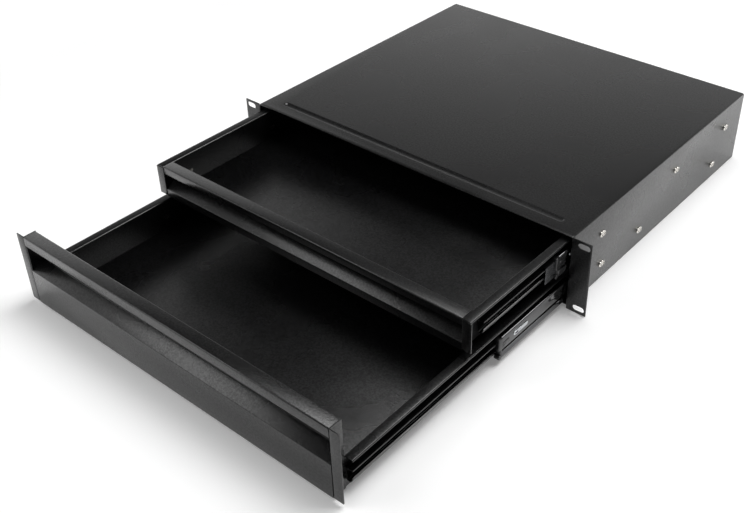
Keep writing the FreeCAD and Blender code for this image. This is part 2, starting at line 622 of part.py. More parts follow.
            # End bracket: an angle that closes the recess and covers the slide's end.
            bracket = new_body(tag + "end_bracket", lead)
            plan = new_sketch(bracket, "XY_Plane", "bracket_bottom")
            inner_x = DRAWER_WALL
            outer_x = DRAWER_WALL + " + housing_sheet"
            tip_x = DRAWER_WALL + " + bracket_reach"
            add_polygon(plan, [
                (across(side, inner_x), "0"), (across(side, tip_x), "0"),
                (across(side, tip_x), "housing_sheet"), (across(side, outer_x), "housing_sheet"),
                (across(side, outer_x), "front_recess"), (across(side, inner_x), "front_recess")])
            angle = extrude(bracket, "Pad", plan, "lower_front_top - bracket_bottom")
            angle = round_edges(bracket, angle, long_edges(angle, 2, [(side * wall_x, 0)]),
                                "housing_bend + housing_sheet")
            round_edges(bracket, angle, long_edges(angle, 2, [(side * (wall_x + gauge), gauge)]),
                        "housing_bend")

        # Inner rail on the tray's side, its screws and its release lever.
        rail = new_body(tag + "inner_rail", "%s + %s_inner_front" % (lead, tier))
        rail_length = "(%s_rail_front + slide_length - %s - %s_inner_front)" % (tier, SETBACK[tier], tier)
        feature = channel(rail, side, "0", "rail_sheet", "inner_reach", "(inner_height / 2)",
                          tier + "_slide_z", rail_length)
        round_channel(rail, feature, side, 0, steel, inner_half, tier + "_slide_z")
        race_grooves(rail, side, [INNER_ROW], tier + "_slide_z", rail_length)
        shift = "%s_inner_front" % tier
        screw_places = [("%s - %s" % (a, shift), b) for a, b in holes]
        web_middle = across(side, DRAWER_WALL + " + rail_sheet / 2")
        web_holes(rail, side, screw_places, "screw_radius + screw_fit", web_middle, "rail_sheet + 1")
        web_holes(rail, side, [("lever_pivot - " + shift, tier + "_slide_z")], "pin_radius",
                  web_middle, "rail_sheet + 1")

        screws = new_body(tag + "rail_screws", lead)
        shanks = new_sketch(screws, "YZ_Plane", across(side, DRAWER_WALL + " - tray_sheet - rail_screw_end"))
        heads = new_sketch(screws, "YZ_Plane", across(side, DRAWER_WALL + " + rail_sheet"))
        for place in holes:
            add_circle(shanks, place, "screw_radius")
            add_circle(heads, place, "rail_screw_head")
        extrude(screws, "Pad", shanks, "rail_sheet + tray_sheet + rail_screw_end", back=side < 0)
        domes = extrude(screws, "Pad", heads, "screw_head_height", back=side < 0)
        face_x = side * (wall_x + steel + size["screw_head_height"])
        rims = edges_where(domes, lambda m, s: near(m.x, face_x) and s[0] < 0.01)
        round_edges(screws, domes, rims, "screw_head_bevel", "Chamfer")

        lever = new_body(tag + "release_lever", lead)
        side_view = new_sketch(lever, "YZ_Plane", across(side, DRAWER_WALL + " + rail_sheet + lever_gap"))
        axis_z = tier + "_slide_z"
        add_polygon(side_view, [
            ("lever_pivot - lever_front", axis_z + " - lever_waist"),
            ("lever_pivot - lever_front", axis_z + " + lever_half"),
            ("lever_pivot - lever_front / 2", axis_z + " + lever_half"),
            ("lever_pivot - lever_boss", axis_z + " + lever_half"),
            ("lever_pivot + lever_boss", axis_z + " + lever_half"),
            ("lever_pivot + lever_back", axis_z + " + lever_waist"),
            ("lever_pivot + lever_back", axis_z + " - lever_half"),
            ("lever_pivot + lever_back - lever_hook", axis_z + " - lever_half"),
            ("lever_pivot + lever_back - 2 * lever_hook", axis_z + " - lever_waist + lever_slope"),
            ("lever_pivot + lever_boss", axis_z + " - lever_half"),
            ("lever_pivot - lever_boss", axis_z + " - lever_half"),
            ("lever_pivot - lever_front / 2", axis_z + " - lever_waist")])
        arm = extrude(lever, "Pad", side_view, "lever_thickness", back=side < 0)
        bore = new_sketch(lever, "YZ_Plane", across(side, DRAWER_WALL))
        add_circle(bore, ("lever_pivot", axis_z), "pin_radius + pin_clearance")
        extrude(lever, "Pocket", bore, "4 * slide_thickness", middle=True)

        pin = new_body(tag + "lever_pin", lead)
        stem = new_sketch(pin, "YZ_Plane", across(side, DRAWER_WALL))
        add_circle(stem, ("lever_pivot", axis_z), "pin_radius")
        extrude(pin, "Pad", stem, "rail_sheet + 2 * lever_gap + lever_thickness", back=side < 0)
        cap = new_sketch(pin, "YZ_Plane",
                         across(side, DRAWER_WALL + " + rail_sheet + 2 * lever_gap + lever_thickness"))
        add_circle(cap, ("lever_pivot", axis_z), "pin_head_radius")
        extrude(pin, "Pad", cap, "pin_head_height", back=side < 0)

doc.recompute()
os.makedirs("parts", exist_ok=True)
for body in [o for o in doc.Objects if o.TypeId == "PartDesign::Body"]:
    for item in body.Group:
        if "Invalid" in item.State or "Error" in item.State:
            raise RuntimeError("%s in %s: %s" % (item.Name, body.Label, item.State))
    if body.Shape.isNull() or not body.Shape.isValid():
        raise RuntimeError(body.Label + " has no valid shape")
    body.Shape.exportStep("parts/%s.step" % body.Label)
    box = body.Shape.BoundBox
    print("%-28s %d %9.1f  x %7.1f %7.1f  y %7.1f %7.1f  z %6.1f %6.1f" % (
        body.Label, len(body.Shape.Solids), body.Shape.Volume,
        box.XMin, box.XMax, box.YMin, box.YMax, box.ZMin, box.ZMax))
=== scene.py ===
import math

import bmesh
import bpy
from mathutils import Matrix, Vector


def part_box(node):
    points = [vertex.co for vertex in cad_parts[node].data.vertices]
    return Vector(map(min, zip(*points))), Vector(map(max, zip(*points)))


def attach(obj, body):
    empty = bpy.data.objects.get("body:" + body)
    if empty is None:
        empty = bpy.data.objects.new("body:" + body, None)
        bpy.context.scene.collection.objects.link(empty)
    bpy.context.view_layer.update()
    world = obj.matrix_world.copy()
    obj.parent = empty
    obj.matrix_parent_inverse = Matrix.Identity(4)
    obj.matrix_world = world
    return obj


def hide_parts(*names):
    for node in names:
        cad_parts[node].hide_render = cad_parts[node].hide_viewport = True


bl_info = {
    "name": "Sliding Rack Drawer",
    "version": (1, 0, 0),
    "blender": (4, 5, 0),
    "location": "View3D > Sidebar > Rack Drawer",
    "description": "Dresses a 2U rack unit with two drawers on ball-bearing slides",
    "category": "Add Mesh",
}

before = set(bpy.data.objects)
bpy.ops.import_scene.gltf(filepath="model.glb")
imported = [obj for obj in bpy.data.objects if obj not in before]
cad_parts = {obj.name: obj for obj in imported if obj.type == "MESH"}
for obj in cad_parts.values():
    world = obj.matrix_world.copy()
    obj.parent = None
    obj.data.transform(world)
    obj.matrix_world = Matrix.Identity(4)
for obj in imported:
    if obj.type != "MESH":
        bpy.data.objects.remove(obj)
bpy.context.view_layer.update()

MM = 0.001
AXES = {"X": 0, "Y": 1, "Z": 2}
SIDES = (("left", -1), ("right", 1))
TIERS = ("lower", "upper")
# A longer edge is a sheet's own edge, and a shorter one a step of a fold.
LONG_EDGE = 10 * MM


# Small modelling tools, each a few editor operations.

def only(obj):
    """Select one object and make it active, with all else deselected."""
    bpy.ops.object.select_all(action="DESELECT")
    obj.select_set(True)
    bpy.context.view_layer.objects.active = obj


def settle(obj):
    """Put the object's place, turn and size into its mesh."""
    only(obj)
    bpy.ops.object.transform_apply(location=True, rotation=True, scale=True)


def pick(kind, test):
    """In edit mode, select the vertices, edges or faces whose middle passes the test."""
    obj = bpy.context.object
    bpy.ops.mesh.select_all(action="DESELECT")
    bpy.ops.mesh.select_mode(type=kind)
    mesh = bmesh.from_edit_mesh(obj.data)
    count = 0
    if kind == "VERT":
        for vert in mesh.verts:
            if test(vert.co):
                vert.select = True
                count += 1
    elif kind == "EDGE":
        for edge in mesh.edges:
            if test((edge.verts[0].co + edge.verts[1].co) / 2, edge.verts[0].co - edge.verts[1].co):
                edge.select = True
                count += 1
    else:
        for face in mesh.faces:
            if test(face.calc_center_median(), face.normal):
                face.select = True
                count += 1
    mesh.select_flush_mode()
    bmesh.update_edit_mesh(obj.data)
    if count == 0:
        raise RuntimeError("nothing to select on " + obj.name)
    return count


def close(a, b, slack=0.02 * MM):
    return abs(a - b) < slack


def modify(obj, kind, **settings):
    """Add a modifier with its settings and apply it."""
    only(obj)
    modifier = obj.modifiers.new(kind.lower(), kind)
    for key, value in settings.items():
        setattr(modifier, key, value)
    bpy.ops.object.modifier_apply(modifier=modifier.name)


def soften(obj, width, segments=2, angle=40):
    """Round the cut edges a little and shade the round stretches smooth."""
    modify(obj, "BEVEL", width=width, segments=segments, limit_method="ANGLE",
           angle_limit=math.radians(angle), harden_normals=False)
    only(obj)
    bpy.ops.object.shade_smooth_by_angle(angle=math.radians(30))


def section_point(axis, place, along):
    """A point from its place in the section across an axis and its place along that axis."""
    point = Vector((0, 0, 0))
    others = [i for i in range(3) if i != AXES[axis]]
    point[others[0]], point[others[1]] = place
    point[AXES[axis]] = along
    return point


def bent_strip(name, axis, route, start, end, bend, segments=4):
    """A flat strip folded along a route: a plane, its far edge extruded leg by leg, its folds bevelled."""
    first, second = Vector(route[0]), Vector(route[1])
    middle = section_point(axis, (first + second) / 2, (start + end) / 2)
    step = second - first
    turn = math.atan2(step.y, step.x)
    turns = {"X": (turn, 0, 0), "Y": (0, -turn, 0), "Z": (math.pi / 2, 0, turn)}
    bpy.ops.object.select_all(action="DESELECT")
    bpy.ops.mesh.primitive_plane_add(size=1, location=middle, rotation=turns[axis])
    obj = bpy.context.object
    obj.name = name
    obj.data.name = name
    along, across = end - start, step.length
    obj.scale = (along, across, 1) if axis == "X" else (across, along, 1)
    settle(obj)
    others = [i for i in range(3) if i != AXES[axis]]

    def at(point, place):
        return close(point[others[0]], place[0]) and close(point[others[1]], place[1])

    bpy.ops.object.mode_set(mode="EDIT")
    for before, after in zip(route[1:], route[2:]):
        pick("EDGE", lambda m, d: at(m, before) and abs(d[AXES[axis]]) > along / 2)
        push = section_point(axis, Vector(after) - Vector(before), 0)
        bpy.ops.mesh.extrude_region_move(TRANSFORM_OT_translate={"value": push})
    for number, place in enumerate(route[1:-1], start=1):
        radius = bend[number - 1] if isinstance(bend, (list, tuple)) else bend
        if radius <= 0:
            continue
        one = (Vector(place) - Vector(route[number - 1])).normalized()
        two = (Vector(route[number + 1]) - Vector(place)).normalized()
        offset = radius * math.tan(one.angle(two) / 2)
        pick("EDGE", lambda m, d: at(m, place) and abs(d[AXES[axis]]) > along / 2)
        bpy.ops.mesh.bevel(offset=offset, offset_type="OFFSET", segments=segments, affect="EDGES",
                           clamp_overlap=True)
    bpy.ops.object.mode_set(mode="OBJECT")
    return obj


def thicken(obj, gauge, edge):
    """Give a folded strip its gauge, half each way, and its softened cut edges."""
    only(obj)
    bpy.ops.object.mode_set(mode="EDIT")
    bpy.ops.mesh.select_all(action="SELECT")
    bpy.ops.mesh.normals_make_consistent(inside=False)
    bpy.ops.object.mode_set(mode="OBJECT")
    modify(obj, "SOLIDIFY", thickness=gauge, offset=0, use_even_offset=True, use_quality_normals=True)
    soften(obj, edge)


def block(name, low, high):
    """A cube primitive between two corners."""
    bpy.ops.object.select_all(action="DESELECT")
    bpy.ops.mesh.primitive_cube_add(size=1, location=(Vector(low) + Vector(high)) / 2)
    obj = bpy.context.object
    obj.name = name
    obj.data.name = name
    obj.scale = Vector(high) - Vector(low)
    settle(obj)
    return obj


def round_bar(name, middle, radius, length, axis="X", sides=32):
    """A cylinder primitive along an axis."""
    turns = {"X": (0, math.pi / 2, 0), "Y": (math.pi / 2, 0, 0), "Z": (0, 0, 0)}
    bpy.ops.object.select_all(action="DESELECT")
    bpy.ops.mesh.primitive_cylinder_add(vertices=sides, radius=radius, depth=length, location=middle,
                                        rotation=turns[axis])
    obj = bpy.context.object
    obj.name = name
    obj.data.name = name
    settle(obj)
    return obj


def cut(obj, *cutters):
    """Cut shapes out of a piece and throw the shapes away."""
    for cutter in cutters:
        modify(obj, "BOOLEAN", operation="DIFFERENCE", object=cutter, solver="EXACT")
        bpy.data.objects.remove(cutter, do_unlink=True)


def weld(name, *objs):
    """Join pieces into one object under a name."""
    bpy.ops.object.select_all(action="DESELECT")
    for obj in objs:
        obj.select_set(True)
    bpy.context.view_layer.objects.active = objs[0]
    if len(objs) > 1:
        bpy.ops.object.join()
    objs[0].name = name
    objs[0].data.name = name
    return objs[0]


def copied(obj, name, shift=(0, 0, 0), mirror=False):
    """A copy with its own mesh, moved, and mirrored in X where asked."""
    only(obj)
    bpy.ops.object.duplicate()
    twin = bpy.context.object
    twin.name = name
    twin.data.name = name
    if mirror:
        twin.scale = (-1, 1, 1)
    twin.location = shift
    settle(twin)
    if mirror:
        bpy.ops.object.mode_set(mode="EDIT")
        bpy.ops.mesh.select_all(action="SELECT")
        bpy.ops.mesh.normals_make_consistent(inside=False)
        bpy.ops.object.mode_set(mode="OBJECT")
    return twin


def finish_piece(obj, body, slot, *nodes, finish=None):
    """Paint a piece, set it on its body and let it stand for its CAD nodes."""
    obj.data.materials.clear()
    obj.data.materials.append(material_for(finish or slot))
    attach(obj, body)
    if nodes:
        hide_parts(*nodes)
    return obj


# Properties.

def linear(code):
    """An sRGB hex colour as linear red, green, blue and full alpha."""
    parts = [int(code[i:i + 2], 16) / 255 for i in (1, 3, 5)]
    return [p / 12.92 if p <= 0.04045 else ((p + 0.055) / 1.055) ** 2.4 for p in parts] + [1.0]


def length(name, description, default, low, high):
    """A size property, given in millimetres."""
    return bpy.props.FloatProperty(name=name, description=description, default=default * MM, min=low * MM,
                                   max=high * MM, unit="LENGTH", precision=5)


def colour(name, description, code):
    """A colour property, given as an sRGB hex colour."""
    return bpy.props.FloatVectorProperty(name=name, description=description, default=linear(code),
                                         min=0, max=1, size=4, subtype="COLOR")


class RackDrawerSizes(bpy.types.PropertyGroup):
    """Sizes that the CAD boxes don't give."""
    gauge: length("Housing Gauge", "Sheet thickness of the housing and the fronts", 1.2, 0.5, 3)
    tray_gauge: length("Tray Gauge", "Sheet thickness of the trays", 1.0, 0.5, 3)
    fold: length("Fold Radius", "Radius of a fold at the middle of the sheet", 0.9, 0.3, 5)
    edge: length("Edge Rounding", "Rounding of the cut edges under their coat", 0.22, 0.05, 0.6)
    slot_height: length("Ear Slot Height", "Height of the slots in the ears", 6.8, 4, 10)
    slot_length: length("Ear Slot Length", "Length of the slots in the ears", 13.5, 7, 20)
    slot_across: length("Slot Columns", "Distance between the two columns of ear slots", 465.1, 400, 500)
    slot_apart: length("Slot Rows", "Distance between the upper and lower ear slots", 76.2, 30, 200)
    ear_root: length("Ear Root", "Depth of the strip of side wall that an ear is folded from", 4, 2, 10)
    slit: length("Relief Slit", "Height of the slit between an ear's root and the housing's top corner",
                 0.6, 0.2, 2)
    return_fold: length("Rear Return", "Width of the return folds round the back opening", 12, 5, 30)
    bead_back: length("Bead Setback", "Middle of the top bead behind the front edge", 20, 10, 60)
    bead_length: length("Bead Length", "Length of the stiffening bead", 392, 100, 420)
    bead_width: length("Bead Width", "Width of the stiffening bead", 9, 4, 20)
    bead_depth: length("Bead Depth", "Depth of the stiffening bead", 1.4, 0.5, 4)
    slope: length("Finger Slope", "Rise of the finger slope over the depth of the recess", 8.6, 2, 20)
    lower_crease: length("Lower Crease", "Foot of the lower finger slope over the bottom", 39.5, 10, 60)
    upper_crease: length("Upper Crease", "Foot of the upper finger slope over the bottom", 8.9, 2, 30)
    lower_lip: length("Lower Lip", "Height of the lower panel's lip", 10.3, 3, 20)
    upper_lip: length("Upper Lip", "Height of the upper panel's lip", 8.4, 3, 20)
    lower_upstand: length("Lower Upstand", "Height of the lower pan's front fold", 28, 3, 36)
    upper_upstand: length("Upper Upstand", "Height of the upper pan's front fold", 5, 3, 30)
    hem: length("Ledge Hem", "Height of the folded edge on the outside of the side ledges", 2, 1, 6)
    rail_gauge: length("Rail Gauge", "Sheet thickness of the rails", 1.2, 0.5, 3)
    rail_fold: length("Rail Corner", "Corner radius of the inner and outer rails at the middle of the sheet",
                      1.5, 0.3, 5)
    mid_fold: length("Middle Rail Corner", "Corner radius of the middle rails at the middle of the sheet",
                     0.9, 0.3, 3)
    race_fold: length("Race Corner", "Corner radius under the inner rails' lip", 2, 0.5, 4)
    rail_lip: length("Rail Lip", "Height of the inner rails' lower lip", 7, 2, 12)
    lip_lean: bpy.props.FloatProperty(
        name="Lip Lean", description="How far the lip leans outward, as a part of its height",
        default=0.35, min=0, max=0.5, subtype="FACTOR")
    groove_low: length("Groove Foot", "Lower edge of the groove below the slide's axis", 5.3, 3, 7)
    groove_high: length("Groove Head", "Upper edge of the groove below the slide's axis", 1.2, 0, 2.5)
    groove_depth: length("Groove Depth", "Depth of the groove rolled in the middle rails' webs", 2, 0.2, 3)
    lug_length: length("Lug Length", "Length of a middle rail's stop lug", 24, 8, 50)
    lug_height: length("Lug Height", "Height of a middle rail's stop lug", 4.6, 2, 10)
    lug_rise: length("Lug Rise", "How far a stop lug stands out of the web", 0.6, 0.1, 2)
    lug_back: length("Lug Setback", "Front end of a stop lug behind the rail's front end", 19, 15, 60)
    lug_above: length("Lug Place", "Middle of a stop lug above the slide's axis", 5.2, 3, 7)
    window_length: length("Window Length", "Length of the window in a stop lug", 4.6, 1, 8)
    window_height: length("Window Height", "Height of the window in a stop lug", 1.8, 0.5, 4)
    window_back: length("Window Setback", "Middle of the window behind the lug's front end", 5, 3, 20)
    head: length("Screw Head", "Radius of a screw head", 3.256, 2, 6)
    head_height: length("Screw Head Height", "Height of a screw head over its seat", 1.8, 1, 4)
    cross: length("Cross Recess", "Half the span of the cross recess in a screw head", 2, 1, 3)


class RackDrawerColours(bpy.types.PropertyGroup):
    """Colours of the materials."""
    coat_hollow: colour("Coat Hollows", "Powder coat in the hollows between its grains", "#030303")
    coat_grain: colour("Coat Grains", "Powder coat on the tops of its grains", "#0e0e0f")
    # Painted shade: a darker copy of the rail coat for the inner and outer rails.
    rail_shade: colour("Shaded Coat", "Shaded coat of the inner and outer rails", "#060607")
    rail: colour("Rail Plate", "Black zinc plate of the middle rails", "#5d5d5e")
    nickel: colour("Nickel", "Nickel plate of the screws and pins", "#dbd8d2")
    # Painted highlight: the stop lugs are pressed from the rail's own plate and drawn paler and brighter than
    # it.
    zinc: colour("Zinc", "Zinc plate of the stop lugs", "#c4c7ca")
    # Painted shade: the cages' zinc drawn darker, as a shaded copy.
    strip: colour("Cage Strip", "Shadowed steel of the ball cages", "#6c6d6f")
    ball: colour("Ball Steel", "Chrome steel of the balls", "#d4d4d4")
    plastic: colour("Nylon", "Nylon of the clips and levers", "#161617")
    paper: colour("Paper", "Background paper", "#f6f6f6")


# Materials.

def colours():
    """The colours that the panel lists."""
    return bpy.context.scene.rack_drawer_colours


def add_node(tree, kind, links=(), **settings):
    """Add a shader node, set its named inputs or properties, and link its inputs."""
    node = tree.nodes.new(kind)
    for key, value in settings.items():
        if key in node.inputs:
            node.inputs[key].default_value = value
        else:
            setattr(node, key, value)
    for name, source in links:
        tree.links.new(source, node.inputs[name])
    return node


def new_material(name):
    """A bare material with its node tree and, for its textures, the place on the object."""
    material = bpy.data.materials.new(name)
    material.use_nodes = True
    tree = material.node_tree
    tree.nodes.clear()
    return material, tree, add_node(tree, "ShaderNodeTexCoord").outputs["Object"]


def noise(tree, place, size, roughness=0.5):
    """Cloudy spots of a given size, as a value between 0 and 1."""
    spots = add_node(tree, "ShaderNodeTexNoise", [("Vector", place)], Scale=1 / size, Detail=2.0,
                     Roughness=roughness)
    return spots.outputs["Fac"]


def mapped(tree, value, before, after):
    """A value taken from one range to another, and held inside the second."""
    ends = dict(zip(("From Min", "From Max", "To Min", "To Max"), before + after))
    return add_node(tree, "ShaderNodeMapRange", [("Value", value)], **ends).outputs["Result"]


def surfaced(material, shader):
    """The material, with a shader as its surface."""
    add_node(material.node_tree, "ShaderNodeOutputMaterial", [("Surface", shader.outputs[0])])
    return material


def powder_coat():
    """Powder coat baked over steel: near black and satin, with the fine dry grain of a textured powder."""
    # The real grain is about 0.6 mm across; it is drawn coarser so that it shows in the render.
    grain_size = 2.0 * MM
    # The film's thickness changes slowly over this length, and its shine with it.
    film_size = 70 * MM
    material, tree, place = new_material("black_polyester_powder_coat")
    grain = noise(tree, place, grain_size, 0.7)
    shine = mapped(tree, noise(tree, place, film_size), (0.3, 0.7), (0.25, 0.31))
    relief = add_node(tree, "ShaderNodeBump", [("Height", grain)], Strength=0.7, Distance=0.18 * MM)
    tint = add_node(tree, "ShaderNodeValToRGB", [("Fac", grain)])
    stops = tint.color_ramp.elements
    stops[0].position, stops[0].color = 0.42, colours().coat_hollow
    stops[1].position, stops[1].color = 0.62, colours().coat_grain
    # The hollows between the grains catch less of the shine than their tops.
    hollows = mapped(tree, grain, (0.35, 0.65), (0.36, 0.64))
    shader = add_node(tree, "ShaderNodeBsdfPrincipled",
                      [("Base Color", tint.outputs["Color"]), ("Roughness", shine),
                       ("Specular IOR Level", hollows), ("Normal", relief.outputs["Normal"])],
                      **{"IOR": 1.5, "Coat Weight": 0.2, "Coat Roughness": 0.28, "Coat IOR": 1.5})
    return surfaced(material, shader)


def rail_coat():
    """Black zinc plate on cold-rolled steel: dark, smooth metal, a mirror streaked along the rail."""
    # Rolling lines are 0.4 mm apart on the rail; they are drawn coarser, and drawn out along it.
    line_size, stretch_along = 1.2 * MM, 0.02
    material, tree, place = new_material("black_zinc_plate")
    stretch = add_node(tree, "ShaderNodeMapping", [("Vector", place)], Scale=(1.0, stretch_along, 1.0))
    shine = mapped(tree, noise(tree, stretch.outputs["Vector"], line_size), (0, 1), (0.12, 0.18))
    shader = add_node(tree, "ShaderNodeBsdfPrincipled", [("Roughness", shine)],
                      **{"Base Color": colours().rail, "Metallic": 1.0})
    return surfaced(material, shader)


def shaded_rail_coat():
    """A darker, non-metal copy of the rail coat on the inner and outer rails, as painted shade: dark and
    smooth over the rolled steel.
    """
    # The film's thickness changes slowly over this length, and its shine with it.
    film_size = 30 * MM
    material, tree, place = new_material("black_rail_coat_painted_shade")
    shine = mapped(tree, noise(tree, place, film_size), (0, 1), (0.16, 0.26))
    shader = add_node(tree, "ShaderNodeBsdfPrincipled", [("Roughness", shine)],
                      **{"Base Color": colours().rail_shade, "IOR": 1.55})
    return surfaced(material, shader)


def bright_metal(name, tint, low, high, spot_size):
    """A smooth metal whose roughness goes softly from low to high over spots of a given size."""
    material, tree, place = new_material(name)
    shine = mapped(tree, noise(tree, place, spot_size), (0, 1), (low, high))
    shader = add_node(tree, "ShaderNodeBsdfPrincipled", [("Roughness", shine)],
                      **{"Base Color": tint, "Metallic": 1.0})
    return surfaced(material, shader)


def nickel_plate():
    """Nickel plate over steel: warm, bright and nearly smooth."""
    return bright_metal("bright_nickel_plate", colours().nickel, 0.16, 0.26, 2 * MM)


def lug_highlight_plate():
    """Pale, a little blue and bright metal: a painted highlight on the stop lugs, which are pressed from the
    rail's own plate.
    """
    return bright_metal("lug_painted_highlight", colours().zinc, 0.14, 0.22, 6 * MM)


def shaded_cage_strip():
    """Grey, softly bright steel, darker than the plated lugs: the ball cages' zinc darkened as painted shade.
    """
    return bright_metal("cage_strip_painted_shade", colours().strip, 0.2, 0.3, 6 * MM)


def ball_steel():
    """Ground and polished chrome steel: a clear mirror."""
    return bright_metal("polished_chrome_steel", colours().ball, 0.05, 0.09, 3 * MM)


def nylon():
    """Moulded nylon: matt black with a faint moulding grain."""
    grain_size = 1.0 * MM
    material, tree, place = new_material("black_moulded_nylon")
    relief = add_node(tree, "ShaderNodeBump", [("Height", noise(tree, place, grain_size))],
                      Strength=0.1, Distance=0.02 * MM)
    shader = add_node(tree, "ShaderNodeBsdfPrincipled", [("Normal", relief.outputs["Normal"])],
                      **{"Base Color": colours().plastic, "Roughness": 0.3, "IOR": 1.53})
    return surfaced(material, shader)


# Makers of the materials by record slot, and of the two finishes that share a slot with another.
# The inner and outer rails get a darker copy of the rail coat, and the cages a darker copy of their zinc, as
# painted shade; the lugs take the pale zinc as a painted highlight.
MAKERS = {
    "black_powder_coat": powder_coat,
    "black_rail_coat": rail_coat,
    "shaded_rail_coat": shaded_rail_coat,
    "nickel_screws": nickel_plate,
    "zinc_cage": lug_highlight_plate,
    "shaded_cage_strip": shaded_cage_strip,
    "bearing_balls": ball_steel,
    "black_nylon": nylon,
}
made = {}


def material_for(finish):
    """The material of a finish, made once."""
    if finish not in made:
        made[finish] = MAKERS[finish]()
    return made[finish]


def dress_node(node, slot, finish=None):
    """Give a CAD node the material of its slot, or of another finish where one is named."""
    obj = bpy.data.objects[node]
    obj.data.materials.clear()
    obj.data.materials.append(material_for(finish or slot))


# Operators.

class RACKDRAWER_OT_housing(bpy.types.Operator):
    """Fold the housing with its ears, slots, return folds and bead"""
    bl_idname = "rack_drawer.housing"
    bl_label = "Housing"

    def execute(self, context):
        sizes = context.scene.rack_drawer
        low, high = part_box("housing_shell")
        inner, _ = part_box("rear_panel")
        half = sizes.gauge / 2
        side_x = -inner.x + half
        top_z = high.z - half
        front_y = low.y + half
        back_y = high.y - half
        root_y = front_y + sizes.ear_root
        shell = bent_strip("housing_shell_skin", "Y", [(-side_x, low.z), (-side_x, top_z), (side_x, top_z),
                                                       (side_x, low.z)], root_y, back_y, sizes.fold, 6)
        bpy.ops.object.mode_set(mode="EDIT")
        self.press_bead(sizes, side_x, top_z, root_y, back_y)
        # The top and its round corners run on to the front edge.
        pick("EDGE", lambda m, d: close(m.y, root_y) and m.z > top_z - sizes.fold and abs(d.y) < MM)
        bpy.ops.mesh.extrude_region_move(TRANSFORM_OT_translate={"value": (0, front_y - root_y, 0)})
        self.fold_back(sizes, side_x, top_z, back_y)
        # A narrow relief slit parts each ear's root from the round corner above it.
        root_z = top_z - sizes.fold - sizes.slit
        pick("FACE", lambda m, n: close(abs(m.x), side_x) and abs(n.x) > 0.9)
        bpy.ops.mesh.bisect(plane_co=(0, 0, root_z), plane_no=(0, 0, 1))
        bpy.ops.object.mode_set(mode="OBJECT")
        ears = [self.ear(sizes, sign, side_x, front_y, root_y, low.z, root_z, high.z) for sign in (-1, 1)]
        shell = weld("housing_shell_skin", shell, *ears)
        bpy.ops.object.mode_set(mode="EDIT")
        bpy.ops.mesh.select_all(action="SELECT")
        bpy.ops.mesh.remove_doubles(threshold=0.01 * MM)
        bpy.ops.object.mode_set(mode="OBJECT")
        thicken(shell, sizes.gauge, sizes.edge)
        for across in (-1, 1):
            for up in (-1, 1):
                middle = Vector((across * sizes.slot_across / 2, front_y, up * sizes.slot_apart / 2))
                cut(shell, self.slot_tool(sizes, middle))
        finish_piece(shell, "housing", "black_powder_coat", "housing_shell")
        dress_node("rear_panel", "black_powder_coat")
        return {"FINISHED"}

    def slot_tool(self, sizes, middle):
        """A round bar, its two halves drawn apart to a slot's length, that reaches through the ear."""
        reach = 20 * MM
        tool = round_bar("slot_tool", middle, sizes.slot_height / 2, reach, "Y", 40)
        bpy.ops.object.mode_set(mode="EDIT")
        spare = (sizes.slot_length - sizes.slot_height) / 2
        for sign in (-1, 1):
            pick("VERT", lambda p: (p.x - middle.x) * sign > 0.01 * MM)
            bpy.ops.transform.translate(value=(sign * spare, 0, 0))
        bpy.ops.object.mode_set(mode="OBJECT")
        return tool

    def press_bead(self, sizes, side_x, top_z, root_y, back_y):
        """A face inset in the top, drawn out to the bead's outline and pushed down with sloped sides."""
        margin = 30 * MM
        # The inset face keeps inside these, and the sheet's own border outside.
        inside_x, inside_y = side_x - 20 * MM, back_y - 10 * MM
        pick("FACE", lambda m, n: close(m.z, top_z) and close(m.x, 0, MM))
        bpy.ops.mesh.inset(thickness=margin, depth=0)
        radius = sizes.bead_width / 2
        goals = ((root_y + margin, sizes.bead_back - radius), (back_y - margin, sizes.bead_back + radius))
        for now, goal in goals:
            pick("VERT", lambda p: close(p.z, top_z) and close(p.y, now, MM) and abs(p.x) < inside_x)
            bpy.ops.transform.translate(value=(0, goal - now, 0))
        now_x = side_x - sizes.fold - margin
        for sign in (-1, 1):
            pick("VERT", lambda p: close(p.z, top_z) and close(p.x, sign * now_x, MM)
                 and root_y + MM < p.y < inside_y)
            bpy.ops.transform.translate(value=(sign * (sizes.bead_length / 2 - now_x), 0, 0))
        # The ends are round but for a short straight, which keeps their corners apart.
        straight = 0.25 * MM
        pick("VERT", lambda p: close(p.z, top_z) and close(abs(p.x), sizes.bead_length / 2, MM)
             and root_y + MM < p.y < inside_y)
        bpy.ops.mesh.bevel(offset=radius - straight, segments=7, affect="VERTICES")
        pick("FACE", lambda m, n: close(m.z, top_z) and close(m.y, sizes.bead_back, MM) and abs(m.x) < MM)
        # Shoulder, slope and foot of the pressed side, as parts of its width and depth.
        for width, depth in ((0.25, 0.12), (0.5, 0.76), (0.25, 0.12)):
            bpy.ops.mesh.inset(thickness=width * radius / 2, depth=-depth * sizes.bead_depth)

    def fold_back(self, sizes, side_x, top_z, back_y):
        """Return folds round the back opening, mitred where they meet."""
        turn = sizes.return_fold - sizes.gauge / 2
        for sign in (-1, 1):
            pick("EDGE", lambda m, d: close(m.x, sign * side_x) and close(m.y, back_y)
                 and abs(d.z) > LONG_EDGE)
            bpy.ops.mesh.extrude_region_move(TRANSFORM_OT_translate={"value": (-sign * turn, 0, 0)})
            pick("VERT", lambda p: close(p.x, sign * (side_x - turn)) and close(p.y, back_y) and p.z > 0)
            bpy.ops.transform.translate(value=(0, 0, -turn))
        pick("EDGE", lambda m, d: close(m.z, top_z) and close(m.y, back_y) and abs(d.x) > LONG_EDGE)
        bpy.ops.mesh.extrude_region_move(TRANSFORM_OT_translate={"value": (0, 0, -turn)})
        for sign in (-1, 1):
            pick("VERT", lambda p: close(p.z, top_z - turn) and close(p.y, back_y)
                 and close(p.x, sign * (side_x - sizes.fold), 0.2 * MM))
            bpy.ops.transform.translate(value=(-sign * turn, 0, 0))

